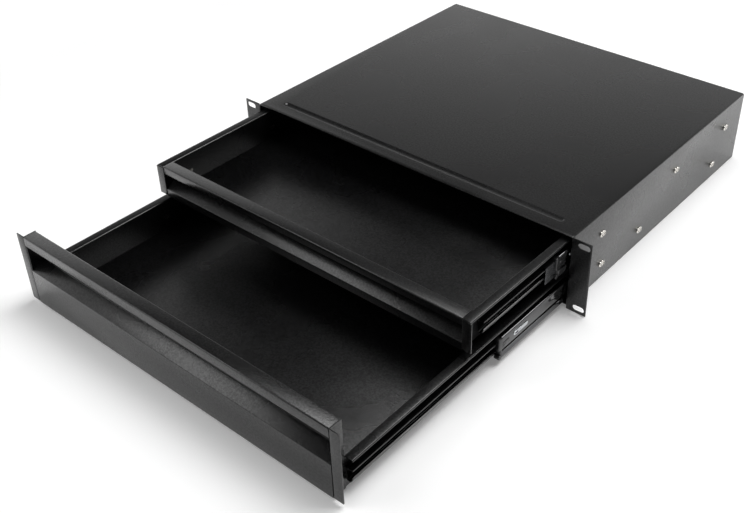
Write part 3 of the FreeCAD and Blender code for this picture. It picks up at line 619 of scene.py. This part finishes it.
    def ear(self, sizes, sign, side_x, front_y, root_y, bottom, root_z, top):
        """One ear, folded outward from the side's front edge; its flap stands up to the top's level."""
        tip_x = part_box("housing_shell")[1].x
        route = [(sign * tip_x, front_y), (sign * side_x, front_y), (sign * side_x, root_y)]
        ear = bent_strip("ear", "Z", route, bottom, root_z, sizes.fold, 5)
        bpy.ops.object.mode_set(mode="EDIT")
        pick("EDGE", lambda m, d: close(m.z, root_z) and abs(d.x) > LONG_EDGE)
        bpy.ops.mesh.extrude_region_move(TRANSFORM_OT_translate={"value": (0, 0, top - root_z)})
        bpy.ops.object.mode_set(mode="OBJECT")
        return ear


class RACKDRAWER_OT_fronts(bpy.types.Operator):
    """Fold the two finger-pull fronts and the lower end brackets"""
    bl_idname = "rack_drawer.fronts"
    bl_label = "Fronts"

    def execute(self, context):
        sizes = context.scene.rack_drawer
        self.front(sizes, "lower", sizes.lower_crease, sizes.lower_lip)
        self.front(sizes, "upper", sizes.upper_crease, sizes.upper_lip)
        for name, side in SIDES:
            self.end_bracket(sizes, "lower_%s_end_bracket" % name, side)
        return {"FINISHED"}

    def front(self, sizes, tier, crease, lip):
        """A strip up the face, in along the finger slope, up, forward over the top and down the lip."""
        low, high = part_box(tier + "_front_panel")
        half = sizes.gauge / 2
        front, back, top = low.y + half, high.y - half, high.z - half
        # The middle of the sheet lies under its outer face by these at the slope's foot and head.
        foot_drop, head_drop = 0.3 * MM, 0.7 * MM
        foot_z = low.z + crease
        route = [(front, low.z), (front, foot_z - foot_drop), (back, foot_z + sizes.slope - head_drop),
                 (back, top), (front, top), (front, high.z - lip)]
        crisp = sizes.fold / 2
        folds = [crisp, crisp, sizes.fold, sizes.fold]
        panel = bent_strip(tier + "_front_skin", "X", route, low.x, high.x, folds, 5)
        thicken(panel, sizes.gauge, sizes.edge)
        finish_piece(panel, tier + "_drawer", "black_powder_coat", tier + "_front_panel")

    def end_bracket(self, sizes, node, side):
        """An angle with its plate across the front's end and its strip turned outward in front."""
        low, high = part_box(node)
        half = sizes.gauge / 2
        plate_x = (low.x if side > 0 else high.x) + side * half
        tip_x = high.x if side > 0 else low.x
        route = [(tip_x, low.y + half), (plate_x, low.y + half), (plate_x, high.y)]
        bracket = bent_strip(node + "_skin", "Z", route, low.z, high.z, sizes.fold, 5)
        thicken(bracket, sizes.gauge, sizes.edge)
        finish_piece(bracket, "lower_drawer", "black_powder_coat", node)


class RACKDRAWER_OT_trays(bpy.types.Operator):
    """Fold the two pans and their side sheets"""
    bl_idname = "rack_drawer.trays"
    bl_label = "Trays"

    def execute(self, context):
        sizes = context.scene.rack_drawer
        for tier, upstand in (("lower", sizes.lower_upstand), ("upper", sizes.upper_upstand)):
            self.pan(sizes, tier, upstand)
            for name, side in SIDES:
                self.side_sheet(sizes, tier, "%s_%s_side" % (tier, name), side)
        return {"FINISHED"}

    def pan(self, sizes, tier, upstand):
        """A strip that forms the front upstand, the floor and the rear wall."""
        low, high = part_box(tier + "_tray")
        half = sizes.tray_gauge / 2
        front, back = low.y + half, high.y - half
        route = [(front, low.z + upstand), (front, low.z + half), (back, low.z + half), (back, high.z)]
        pan = bent_strip(tier + "_pan_skin", "X", route, low.x, high.x, sizes.fold, 5)
        thicken(pan, sizes.tray_gauge, sizes.edge)
        finish_piece(pan, tier + "_drawer", "black_powder_coat", tier + "_tray")

    def side_sheet(self, sizes, tier, node, side):
        """A wall with ledge and hem; the lower wall runs on forward, and the upper one turns outward."""
        low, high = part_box(node)
        gauge = sizes.tray_gauge
        half = gauge / 2
        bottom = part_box(tier + "_tray")[0].z
        wall_x = (low.x if side > 0 else high.x) + side * half
        ledge_x = side * (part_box("lower_right_side")[1].x - half)
        ledge_z = high.z - half
        # The lower ledge starts this far in front of the inner rail.
        lead = 0.3 * MM
        start = low.y if tier == "upper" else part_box("lower_right_inner_rail")[0].y - lead
        route = [(wall_x, bottom), (wall_x, ledge_z), (ledge_x, ledge_z), (ledge_x, high.z - sizes.hem)]
        # The hem is folded tighter than the ledge.
        sheet = bent_strip(node + "_skin", "Y", route, start, high.y, [sizes.fold, gauge * 0.6], 5)

        def wall_end(m, d):
            return close(m.x, wall_x) and close(m.y, start) and abs(d.z) > LONG_EDGE

        bpy.ops.object.mode_set(mode="EDIT")
        pick("EDGE", wall_end)
        if tier == "lower":
            bpy.ops.mesh.extrude_region_move(TRANSFORM_OT_translate={"value": (0, low.y - start, 0)})
        else:
            reach = (high.x if side > 0 else -low.x) - abs(wall_x)
            bpy.ops.mesh.extrude_region_move(TRANSFORM_OT_translate={"value": (side * reach, 0, 0)})
            pick("EDGE", wall_end)
            bpy.ops.mesh.bevel(offset=sizes.fold * 0.8, segments=4, affect="EDGES")
        bpy.ops.object.mode_set(mode="OBJECT")
        thicken(sheet, gauge, sizes.edge)
        finish_piece(sheet, tier + "_drawer", "black_powder_coat", node)


class RACKDRAWER_OT_slides(bpy.types.Operator):
    """Roll the three rails of each slide and press their details"""
    bl_idname = "rack_drawer.slides"
    bl_label = "Slides"

    def execute(self, context):
        sizes = context.scene.rack_drawer
        for tier in TIERS:
            for name, side in SIDES:
                tag = "%s_%s_" % (tier, name)
                self.outer_rail(sizes, tag, side)
                self.mid_rail(sizes, tag, side)
                self.inner_rail(sizes, tag, side, tier)
        return {"FINISHED"}

    def roll(self, sizes, node, route, bend):
        """A rail rolled along a route over its node's length."""
        low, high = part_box(node)
        rail = bent_strip(node + "_skin", "Y", route, low.y, high.y, bend, 6)
        # Plated strip has crisper edges than powder coated sheet.
        thicken(rail, sizes.rail_gauge, sizes.edge * 0.8)
        return rail

    def outer_rail(self, sizes, tag, side):
        """A plain channel, open toward the drawer."""
        node = tag + "outer_rail"
        low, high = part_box(node)
        half = sizes.rail_gauge / 2
        web, tip = (high.x - half, low.x) if side > 0 else (low.x + half, high.x)
        route = [(tip, low.z + half), (web, low.z + half), (web, high.z - half), (tip, high.z - half)]
        rail = self.roll(sizes, node, route, sizes.rail_fold)
        # The outer rails take the darker copy of the rail coat, as painted shade.
        finish_piece(rail, "housing", "black_rail_coat", node, finish="shaded_rail_coat")

    def mid_rail(self, sizes, tag, side):
        """A channel with a groove rolled in its web and a stop lug."""
        node = tag + "mid_rail"
        low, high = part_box(node)
        half = sizes.rail_gauge / 2
        # The CAD rail's box ends at its lug, which stands this far out of the web.
        lug_in_box = 0.5 * MM
        web = (high.x if side > 0 else low.x) - side * (lug_in_box + half)
        tip = low.x if side > 0 else high.x
        axis = (low.z + high.z) / 2
        # The groove's lower wall is nearly square to the web, and its upper wall slopes.
        groove_foot, groove_head = axis - sizes.groove_low, axis - sizes.groove_high
        groove_floor = groove_foot + 0.1 * MM
        floor_x = web - side * sizes.groove_depth
        route = [(tip, low.z + half), (web, low.z + half), (web, groove_foot), (floor_x, groove_floor),
                 (web, groove_head), (web, high.z - half), (tip, high.z - half)]
        rail = self.roll(sizes, node, route, [sizes.mid_fold, 0, 0, 0, sizes.mid_fold])
        self.press_lug(sizes, tag, rail, web + side * half, low.y, axis)
        finish_piece(rail, tag + "middle_slide", "black_rail_coat", node)

    def inner_rail(self, sizes, tag, side, tier):
        """A channel, open outward, whose lower flange turns up in a lip."""
        node = tag + "inner_rail"
        low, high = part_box(node)
        half = sizes.rail_gauge / 2
        web, tip = (low.x + half, high.x) if side > 0 else (high.x - half, low.x)
        lip_x = tip - side * half
        foot_x = lip_x - side * sizes.rail_lip * sizes.lip_lean
        route = [(tip, high.z - half), (web, high.z - half), (web, low.z + half), (foot_x, low.z + half),
                 (lip_x, low.z + sizes.rail_lip)]
        rail = self.roll(sizes, node, route, [sizes.rail_fold, sizes.rail_fold, sizes.race_fold])
        # The inner rails take the darker copy of the rail coat, as painted shade.
        finish_piece(rail, tier + "_drawer", "black_rail_coat", node, finish="shaded_rail_coat")

    def press_lug(self, sizes, tag, rail, face, front, axis):
        """The stop lug near the rail's front end, round at both ends, with its small window; drawn in pale
        zinc as a painted highlight.
        """
        middle = Vector((face, front + sizes.lug_back + sizes.lug_length / 2, axis + sizes.lug_above))
        spread = Vector((sizes.lug_rise, sizes.lug_length / 2, sizes.lug_height / 2))
        lug = block(tag + "stop_lug", middle - spread, middle + spread)
        # The ends are round but for a short straight, which keeps their corners apart.
        straight = 0.05 * MM
        bpy.ops.object.mode_set(mode="EDIT")
        pick("EDGE", lambda m, d: abs(d.x) > sizes.lug_rise)
        bpy.ops.mesh.bevel(offset=sizes.lug_height / 2 - straight, segments=8, affect="EDGES")
        bpy.ops.object.mode_set(mode="OBJECT")
        soften(lug, sizes.lug_rise / 2, 3)
        # The window lies a little under the lug's middle and goes through lug and web.
        under, through = 0.2 * MM, 4 * MM
        window = Vector((through, sizes.window_length / 2, sizes.window_height / 2))
        place = middle + Vector((0, sizes.window_back - sizes.lug_length / 2, -under))
        for piece in (rail, lug):
            cut(piece, block("window", place - window, place + window))
        # The lug, pressed from the rail's own plate, takes the pale zinc as a painted highlight.
        finish_piece(lug, tag + "middle_slide", "zinc_cage")


class RACKDRAWER_OT_screws(bpy.types.Operator):
    """Shape one pan-head screw with a cross recess and set it at every screw's place"""
    bl_idname = "rack_drawer.screws"
    bl_label = "Screws"

    def execute(self, context):
        sizes = context.scene.rack_drawer
        groups = [("slide_screws_%s" % name, "housing", side) for name, side in SIDES]
        groups += [("%s_%s_rail_screws" % (tier, name), tier + "_drawer", side)
                   for tier in TIERS for name, side in SIDES]
        pattern = self.pattern_screw(sizes)
        for node, body, side in groups:
            low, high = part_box(node)
            seat_x = (high.x if side > 0 else low.x) - side * sizes.head_height
            copies = []
            for number, (y, z) in enumerate(self.screw_places(node)):
                copies.append(copied(pattern, "%s_%d" % (node, number), (seat_x, y, z), side < 0))
            group = weld(node + "_bright", *copies)
            finish_piece(group, body, "nickel_screws", node)
        bpy.data.objects.remove(pattern, do_unlink=True)
        return {"FINISHED"}

    def pattern_screw(self, sizes):
        """A screw along +X with its head's seat at the origin."""
        top, arm = sizes.head_height, sizes.cross
        dome, slit, depth, clear = 1.25 * MM, 0.5 * MM, 1.0 * MM, 1.2 * MM
        head = round_bar("screw", (top / 2, 0, 0), sizes.head, top, "X", 40)
        bpy.ops.object.mode_set(mode="EDIT")
        pick("EDGE", lambda m, d: close(m.x, top) and close(d.x, 0) and m.yz.length > sizes.head * 0.8)
        bpy.ops.mesh.bevel(offset=dome, segments=6, affect="EDGES")
        bpy.ops.object.mode_set(mode="OBJECT")
        cut(head, block("arm_up", (top - depth, -slit, -arm), (top + clear, slit, arm)))
        cut(head, block("arm_across", (top - depth, -arm, -slit), (top + clear, arm, slit)))
        soften(head, 0.1 * MM, 2)
        # The M4 shank starts a little inside the head.
        radius, shank_length, sunk = 2.0 * MM, 2.3 * MM, 0.05 * MM
        shank = round_bar("shank", (sunk - shank_length / 2, 0, 0), radius, shank_length, "X", 24)
        return weld("screw", head, shank)

    def screw_places(self, node):
        """Middles of the vertex groups of a CAD screw group, front to back."""
        # A vertex joins the first group whose first vertex is this near in height and in depth.
        # A head is wider than this, so a screw can give more than one middle, and copies that overlap.
        reach = 6 * MM
        groups = []
        for vert in bpy.data.objects[node].data.vertices:
            y, z = vert.co.yz
            for group in groups:
                if abs(group[0][0] - y) < reach and abs(group[0][1] - z) < reach:
                    group.append((y, z))
                    break
            else:
                groups.append([(y, z)])
        places = []
        for group in groups:
            ys, zs = zip(*group)
            places.append(((min(ys) + max(ys)) / 2, (min(zs) + max(zs)) / 2))
        return sorted(places)


class RACKDRAWER_OT_small_parts(bpy.types.Operator):
    """Mould the clips, and give the cages, balls, levers and pins their materials"""
    bl_idname = "rack_drawer.small_parts"
    bl_label = "Small Parts"

    def execute(self, context):
        slots = {"release_lever": "black_nylon", "lever_pin": "nickel_screws",
                 "outer_balls": "bearing_balls", "inner_balls": "bearing_balls"}
        for tier in TIERS:
            for name, side in SIDES:
                tag = "%s_%s_" % (tier, name)
                for part, slot in slots.items():
                    dress_node(tag + part, slot)
                for part in ("outer_cage", "inner_cage"):
                    # The cages take a darker copy of their zinc, as painted shade.
                    dress_node(tag + part, "zinc_cage", "shaded_cage_strip")
                self.end_clip(tag, side)
        return {"FINISHED"}

    def end_clip(self, tag, side):
        """A plug in the middle rail's front end, with a curled foot and a stepped tongue on the web."""
        low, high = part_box(tag + "end_clip")
        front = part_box(tag + "mid_rail")[0].y
        axis = (low.z + high.z) / 2
        outer, inner = (high.x, low.x) if side > 0 else (low.x, high.x)
        # The plug goes from under the axis to the top, and as far as this into the rail.
        under, tuck = 1.0 * MM, 1.5 * MM
        plug = block("plug", (inner, low.y, axis - under), (outer, front + tuck, high.z))
        soften(plug, 0.8 * MM, 3)
        curl = 2.6 * MM
        middle = ((inner + outer) / 2, low.y + curl, low.z + curl)
        foot = round_bar("foot", middle, curl, abs(outer - inner), "X", 24)
        soften(foot, 0.4 * MM, 2)
        # The stem is set back from the foot and from the outer face.
        back, up, inset = 3.2 * MM, 1.2 * MM, 0.8 * MM
        stem = block("stem", (inner, low.y + back, low.z + up), (outer - side * inset, front + tuck, axis))
        # The tongue's two steps, by their heights over the axis; the lower one ends sooner.
        tongue, shorter = 1.2 * MM, 5 * MM
        foot_z, step_z, head_z = axis + 0.5 * MM, axis + 3 * MM, axis + 6 * MM
        tongue_x = outer - side * tongue
        low_step = block("low_step", (tongue_x, front, foot_z), (outer, high.y - shorter, step_z))
        high_step = block("high_step", (tongue_x, front, step_z), (outer, high.y, head_z))
        for thin in (stem, low_step, high_step):
            soften(thin, 0.3 * MM, 2)
        clip = weld(tag + "end_clip_skin", plug, foot, stem, low_step, high_step)
        finish_piece(clip, tag + "middle_slide", "black_nylon", tag + "end_clip")


class RACKDRAWER_OT_stage(bpy.types.Operator):
    """Lay the pale floor, the soft light and the camera"""
    bl_idname = "rack_drawer.stage"
    bl_label = "Stage"

    def execute(self, context):
        scene = context.scene
        scene.view_settings.view_transform = "Standard"
        # The floor lies just under the housing, in metres across.
        floor_size, gap = 30, 0.2 * MM
        low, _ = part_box("housing_shell")
        bpy.ops.object.select_all(action="DESELECT")
        bpy.ops.mesh.primitive_plane_add(size=floor_size, location=(0, 0, low.z - gap))
        floor = bpy.context.object
        floor.name = "floor"
        floor.data.materials.append(self.paper())
        self.white_world(scene)
        # A key from the right and behind, and a weak softbox from the left that the finger slopes mirror.
        self.softbox("key_softbox", (0.42, 0.54, 2.03), 1.5, 45)
        self.softbox("left_softbox", (-0.92, -1.16, 1.45), 1.05, 9.5)
        scene.camera = self.photo_camera()
        return {"FINISHED"}

    def softbox(self, name, place, width, power):
        """A square lamp that faces the origin; place and width in metres, power in watts."""
        place = Vector(place)
        bpy.ops.object.light_add(type="AREA", location=place)
        lamp = bpy.context.object
        lamp.name = name
        lamp.data.shape = "SQUARE"
        lamp.data.size = width
        lamp.data.energy = power
        lamp.rotation_euler = (-place).to_track_quat("-Z", "Y").to_euler()

    def photo_camera(self):
        """The camera of the photo, fitted to the corners of the housing and the fronts."""
        bpy.ops.object.camera_add(location=(626.6 * MM, -733.4 * MM, 634.95 * MM))
        camera = bpy.context.object
        camera.name = "camera"
        azimuth, elevation, roll = math.radians(39.34), math.radians(35.11), math.radians(-0.34)
        back = Vector((math.sin(azimuth) * math.cos(elevation), -math.cos(azimuth) * math.cos(elevation),
                       math.sin(elevation)))
        look = (-back).to_track_quat("-Z", "Y").to_matrix()
        camera.rotation_euler = (look @ Matrix.Rotation(roll, 3, "Z")).to_euler()
        camera.data.sensor_width = 36
        camera.data.lens = 50.17
        camera.data.shift_x = -0.0585
        camera.data.shift_y = -0.0352
        camera.data.clip_start = 0.01
        return camera

    def paper(self):
        """White background paper: matt, and pure white to the eye where no shadow falls."""
        material, tree, place = new_material("white_background_paper")
        sight = add_node(tree, "ShaderNodeLightPath")
        seen = add_node(tree, "ShaderNodeMath",
                        [(0, sight.outputs["Is Camera Ray"]), (1, sight.outputs["Is Glossy Ray"])],
                        operation="MAXIMUM")
        through = add_node(tree, "ShaderNodeMath",
                           [(0, seen.outputs["Value"]), (1, sight.outputs["Is Transmission Ray"])],
                           operation="MAXIMUM")
        # A little near the object, so that its shadow stays, and white from 1.6 m off, past the lamps' light.
        reach = add_node(tree, "ShaderNodeVectorMath", [(0, place)], operation="LENGTH")
        lift = mapped(tree, reach.outputs["Value"], (0.7, 1.6), (0.15, 0.8))
        glow = add_node(tree, "ShaderNodeMath", [(0, through.outputs["Value"]), (1, lift)],
                        operation="MULTIPLY")
        sheet = add_node(tree, "ShaderNodeBsdfDiffuse", Color=colours().paper)
        shine = add_node(tree, "ShaderNodeEmission", [("Strength", glow.outputs["Value"])])
        both = add_node(tree, "ShaderNodeAddShader",
                        [(0, sheet.outputs["BSDF"]), (1, shine.outputs["Emission"])])
        return surfaced(material, both)

    def white_world(self, scene):
        """A studio dome: white at the horizon, dark overhead, and white a little higher on the left."""
        world = bpy.data.worlds.new("studio")
        scene.world = world
        world.use_nodes = True
        tree = world.node_tree
        tree.nodes.clear()
        place = add_node(tree, "ShaderNodeTexCoord")
        parts = add_node(tree, "ShaderNodeSeparateXYZ", [("Vector", place.outputs["Generated"])])
        left = add_node(tree, "ShaderNodeMath", [(0, parts.outputs["X"])], operation="MINIMUM")
        left.inputs[1].default_value = 0.0
        # The dark starts higher on the left, by this part of the distance to the left.
        leaning = 0.25
        height = add_node(tree, "ShaderNodeMath", [(0, left.outputs["Value"]), (2, parts.outputs["Z"])],
                          operation="MULTIPLY_ADD")
        height.inputs[1].default_value = leaning
        power = mapped(tree, height.outputs["Value"], (-0.1, 0.55), (1.0, 0.03))
        light = add_node(tree, "ShaderNodeBackground", [("Strength", power)], Color=linear("#ffffff"))
        add_node(tree, "ShaderNodeOutputWorld", [("Surface", light.outputs["Background"])])


OPERATORS = (RACKDRAWER_OT_housing, RACKDRAWER_OT_fronts, RACKDRAWER_OT_trays, RACKDRAWER_OT_slides,
             RACKDRAWER_OT_screws, RACKDRAWER_OT_small_parts, RACKDRAWER_OT_stage)


class RACKDRAWER_PT_panel(bpy.types.Panel):
    """Lists the sizes, the colours and the steps"""
    bl_idname = "RACKDRAWER_PT_panel"
    bl_label = "Rack Drawer"
    bl_space_type = "VIEW_3D"
    bl_region_type = "UI"
    bl_category = "Rack Drawer"

    def draw(self, context):
        for group in (context.scene.rack_drawer, context.scene.rack_drawer_colours):
            for name in group.bl_rna.properties.keys():
                if name not in ("rna_type", "name"):
                    self.layout.prop(group, name)
        for operator in OPERATORS:
            self.layout.operator(operator.bl_idname)


CLASSES = (RackDrawerSizes, RackDrawerColours) + OPERATORS + (RACKDRAWER_PT_panel,)


def register():
    for item in CLASSES:
        bpy.utils.register_class(item)
    bpy.types.Scene.rack_drawer = bpy.props.PointerProperty(type=RackDrawerSizes)
    bpy.types.Scene.rack_drawer_colours = bpy.props.PointerProperty(type=RackDrawerColours)


def unregister():
    del bpy.types.Scene.rack_drawer_colours
    del bpy.types.Scene.rack_drawer
    for item in reversed(CLASSES):
        bpy.utils.unregister_class(item)


def main():
    register()
    for step in ("housing", "fronts", "trays", "slides", "screws", "small_parts", "stage"):
        getattr(bpy.ops.rack_drawer, step)()


if __name__ == "__main__":
    main()
